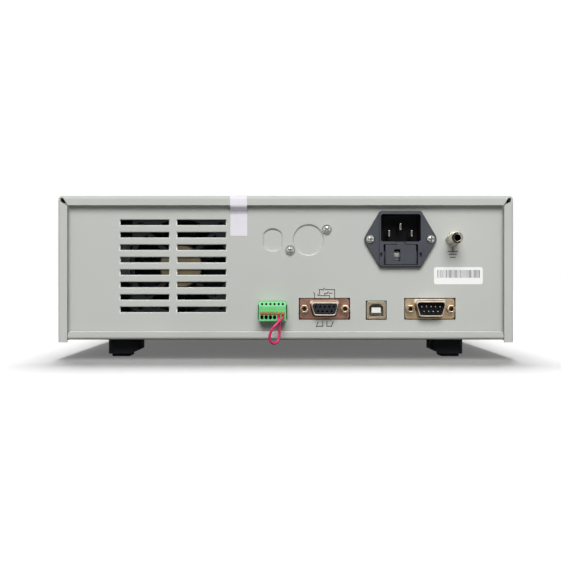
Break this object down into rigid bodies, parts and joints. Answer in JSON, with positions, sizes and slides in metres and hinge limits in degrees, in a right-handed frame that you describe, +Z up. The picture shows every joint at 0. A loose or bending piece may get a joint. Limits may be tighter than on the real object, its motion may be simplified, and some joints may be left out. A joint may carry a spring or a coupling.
{
  "type": "hipot tester",
  "caption": "Bench high-voltage withstand tester: sheet-metal case, keypad front, rear panel with mains inlet and fuse drawer, ground terminal, data connectors and fan grille.",
  "frame": {"origin": "middle of the footprint, on the surface that the feet stand on", "axes": "+Z up, +Y towards the connector panel at the rear, so the front faces -Y"},
  "size_m": [0.28, 0.3966, 0.1],
  "materials": {
    "case_paint": "fine satin paint",
    "front_moulding": "moulded",
    "face_film": "printed film",
    "window": "clear",
    "display": "smooth",
    "key_grey": "moulded",
    "key_green": "moulded",
    "key_red": "moulded",
    "socket_red": "moulded",
    "black_plastic": "moulded",
    "slate_plastic": "moulded",
    "foot_rubber": "moulded",
    "screw_nickel": "nickel plated",
    "terminal_nickel": "nickel plated",
    "shell_bronze": "plated",
    "shell_tin": "plated",
    "board": "lacquered",
    "core_iron": "varnished",
    "bare_aluminium": "as drawn",
    "block_green": "moulded",
    "header_green": "moulded",
    "release_orange": "moulded",
    "wire_pink": "smooth",
    "fuse_glass": "clear",
    "tongue_white": "moulded"
  },
  "bodies": {
    "case": {"bottom_pan": "case_paint", "top_cover": "case_paint", "rear_panel": "case_paint", "blanking_plate": "case_paint", "case_screws": "screw_nickel", "panel_screws": "screw_nickel", "feet": "slate_plastic", "foot_pads": "foot_rubber", "front_bezel": "front_moulding", "face_plate": "face_film", "display_window": "window", "display_module": "display", "key_board": "board", "high_voltage_socket": "socket_red", "return_socket": "black_plastic", "warning_lamp": "key_red", "main_board": "board", "transformer": "core_iron", "heat_sink": "bare_aluminium", "power_supply": "bare_aluminium", "fan_frame": "black_plastic", "fan_nuts": "screw_nickel", "inlet_body": "slate_plastic", "inlet_pins": "terminal_nickel", "ground_terminal": "terminal_nickel", "ground_nut": "terminal_nickel", "signal_header": "header_green", "handler_shell": "shell_bronze", "handler_insulator": "black_plastic", "serial_shell": "shell_tin", "serial_insulator": "black_plastic", "serial_pins": "terminal_nickel", "jackscrews": "terminal_nickel", "usb_shell": "screw_nickel", "usb_tongue": "tongue_white"},
    "fan_rotor": {"fan_rotor": "black_plastic"},
    "fuse_drawer": {"fuse_drawer": "slate_plastic", "fuses": "fuse_glass"},
    "signal_plug": {"signal_plug": "block_green", "jumper_wire": "wire_pink"},
    "tilt_leg_left": {"tilt_leg_left": "slate_plastic"},
    "tilt_leg_right": {"tilt_leg_right": "slate_plastic"},
    "release_button_1": {"release_button_1": "release_orange"},
    "release_button_2": {"release_button_2": "release_orange"},
    "release_button_3": {"release_button_3": "release_orange"},
    "release_button_4": {"release_button_4": "release_orange"},
    "release_button_5": {"release_button_5": "release_orange"},
    "release_button_6": {"release_button_6": "release_orange"},
    "soft_key_1": {"soft_key_1": "key_grey"},
    "soft_key_2": {"soft_key_2": "key_grey"},
    "soft_key_3": {"soft_key_3": "key_grey"},
    "soft_key_4": {"soft_key_4": "key_grey"},
    "soft_key_5": {"soft_key_5": "key_grey"},
    "up_key": {"up_key": "key_grey"},
    "down_key": {"down_key": "key_grey"},
    "left_key": {"left_key": "key_grey"},
    "right_key": {"right_key": "key_grey"},
    "start_button": {"start_button": "key_green"},
    "stop_button": {"stop_button": "key_red"},
    "power_button": {"power_button": "key_grey"}
  },
  "joints": [
    {"name": "fan_spin", "type": "hinge", "parent": "case", "child": "fan_rotor", "pos_m": [0.065, 0.1745, 0.057], "axis": [0, 1, 0], "continuous": true},
    {"name": "fuse_drawer_slide", "type": "slide", "parent": "case", "child": "fuse_drawer", "axis": [0, 1, 0], "range_m": [0, 0.018]},
    {"name": "signal_plug_pull", "type": "slide", "parent": "case", "child": "signal_plug", "axis": [0, 1, 0], "range_m": [0, 0.012]},
    {"name": "tilt_leg_left_fold", "type": "hinge", "parent": "case", "child": "tilt_leg_left", "pos_m": [-0.102, -0.1323, 0.0044], "axis": [-1, 0, 0], "range_deg": [0, 100]},
    {"name": "tilt_leg_right_fold", "type": "hinge", "parent": "case", "child": "tilt_leg_right", "pos_m": [0.102, -0.1323, 0.0044], "axis": [-1, 0, 0], "range_deg": [0, 100]},
    {"name": "release_button_1_press", "type": "slide", "parent": "signal_plug", "child": "release_button_1", "axis": [0, -1, 0], "range_m": [0, 0.0007], "stiffness_N_per_m": 400},
    {"name": "release_button_2_press", "type": "slide", "parent": "signal_plug", "child": "release_button_2", "axis": [0, -1, 0], "range_m": [0, 0.0007], "stiffness_N_per_m": 400},
    {"name": "release_button_3_press", "type": "slide", "parent": "signal_plug", "child": "release_button_3", "axis": [0, -1, 0], "range_m": [0, 0.0007], "stiffness_N_per_m": 400},
    {"name": "release_button_4_press", "type": "slide", "parent": "signal_plug", "child": "release_button_4", "axis": [0, -1, 0], "range_m": [0, 0.0007], "stiffness_N_per_m": 400},
    {"name": "release_button_5_press", "type": "slide", "parent": "signal_plug", "child": "release_button_5", "axis": [0, -1, 0], "range_m": [0, 0.0007], "stiffness_N_per_m": 400},
    {"name": "release_button_6_press", "type": "slide", "parent": "signal_plug", "child": "release_button_6", "axis": [0, -1, 0], "range_m": [0, 0.0007], "stiffness_N_per_m": 400},
    {"name": "soft_key_1_press", "type": "slide", "parent": "case", "child": "soft_key_1", "axis": [0, 1, 0], "range_m": [0, 0.001], "stiffness_N_per_m": 400},
    {"name": "soft_key_2_press", "type": "slide", "parent": "case", "child": "soft_key_2", "axis": [0, 1, 0], "range_m": [0, 0.001], "stiffness_N_per_m": 400},
    {"name": "soft_key_3_press", "type": "slide", "parent": "case", "child": "soft_key_3", "axis": [0, 1, 0], "range_m": [0, 0.001], "stiffness_N_per_m": 400},
    {"name": "soft_key_4_press", "type": "slide", "parent": "case", "child": "soft_key_4", "axis": [0, 1, 0], "range_m": [0, 0.001], "stiffness_N_per_m": 400},
    {"name": "soft_key_5_press", "type": "slide", "parent": "case", "child": "soft_key_5", "axis": [0, 1, 0], "range_m": [0, 0.001], "stiffness_N_per_m": 400},
    {"name": "up_key_press", "type": "slide", "parent": "case", "child": "up_key", "axis": [0, 1, 0], "range_m": [0, 0.001], "stiffness_N_per_m": 400},
    {"name": "down_key_press", "type": "slide", "parent": "case", "child": "down_key", "axis": [0, 1, 0], "range_m": [0, 0.001], "stiffness_N_per_m": 400},
    {"name": "left_key_press", "type": "slide", "parent": "case", "child": "left_key", "axis": [0, 1, 0], "range_m": [0, 0.001], "stiffness_N_per_m": 400},
    {"name": "right_key_press", "type": "slide", "parent": "case", "child": "right_key", "axis": [0, 1, 0], "range_m": [0, 0.001], "stiffness_N_per_m": 400},
    {"name": "start_button_press", "type": "slide", "parent": "case", "child": "start_button", "axis": [0, 1, 0], "range_m": [0, 0.002], "stiffness_N_per_m": 500},
    {"name": "stop_button_press", "type": "slide", "parent": "case", "child": "stop_button", "axis": [0, 1, 0], "range_m": [0, 0.002], "stiffness_N_per_m": 500},
    {"name": "power_button_press", "type": "slide", "parent": "case", "child": "power_button", "axis": [0, 1, 0], "range_m": [0, 0.002], "stiffness_N_per_m": 500}
  ]
}
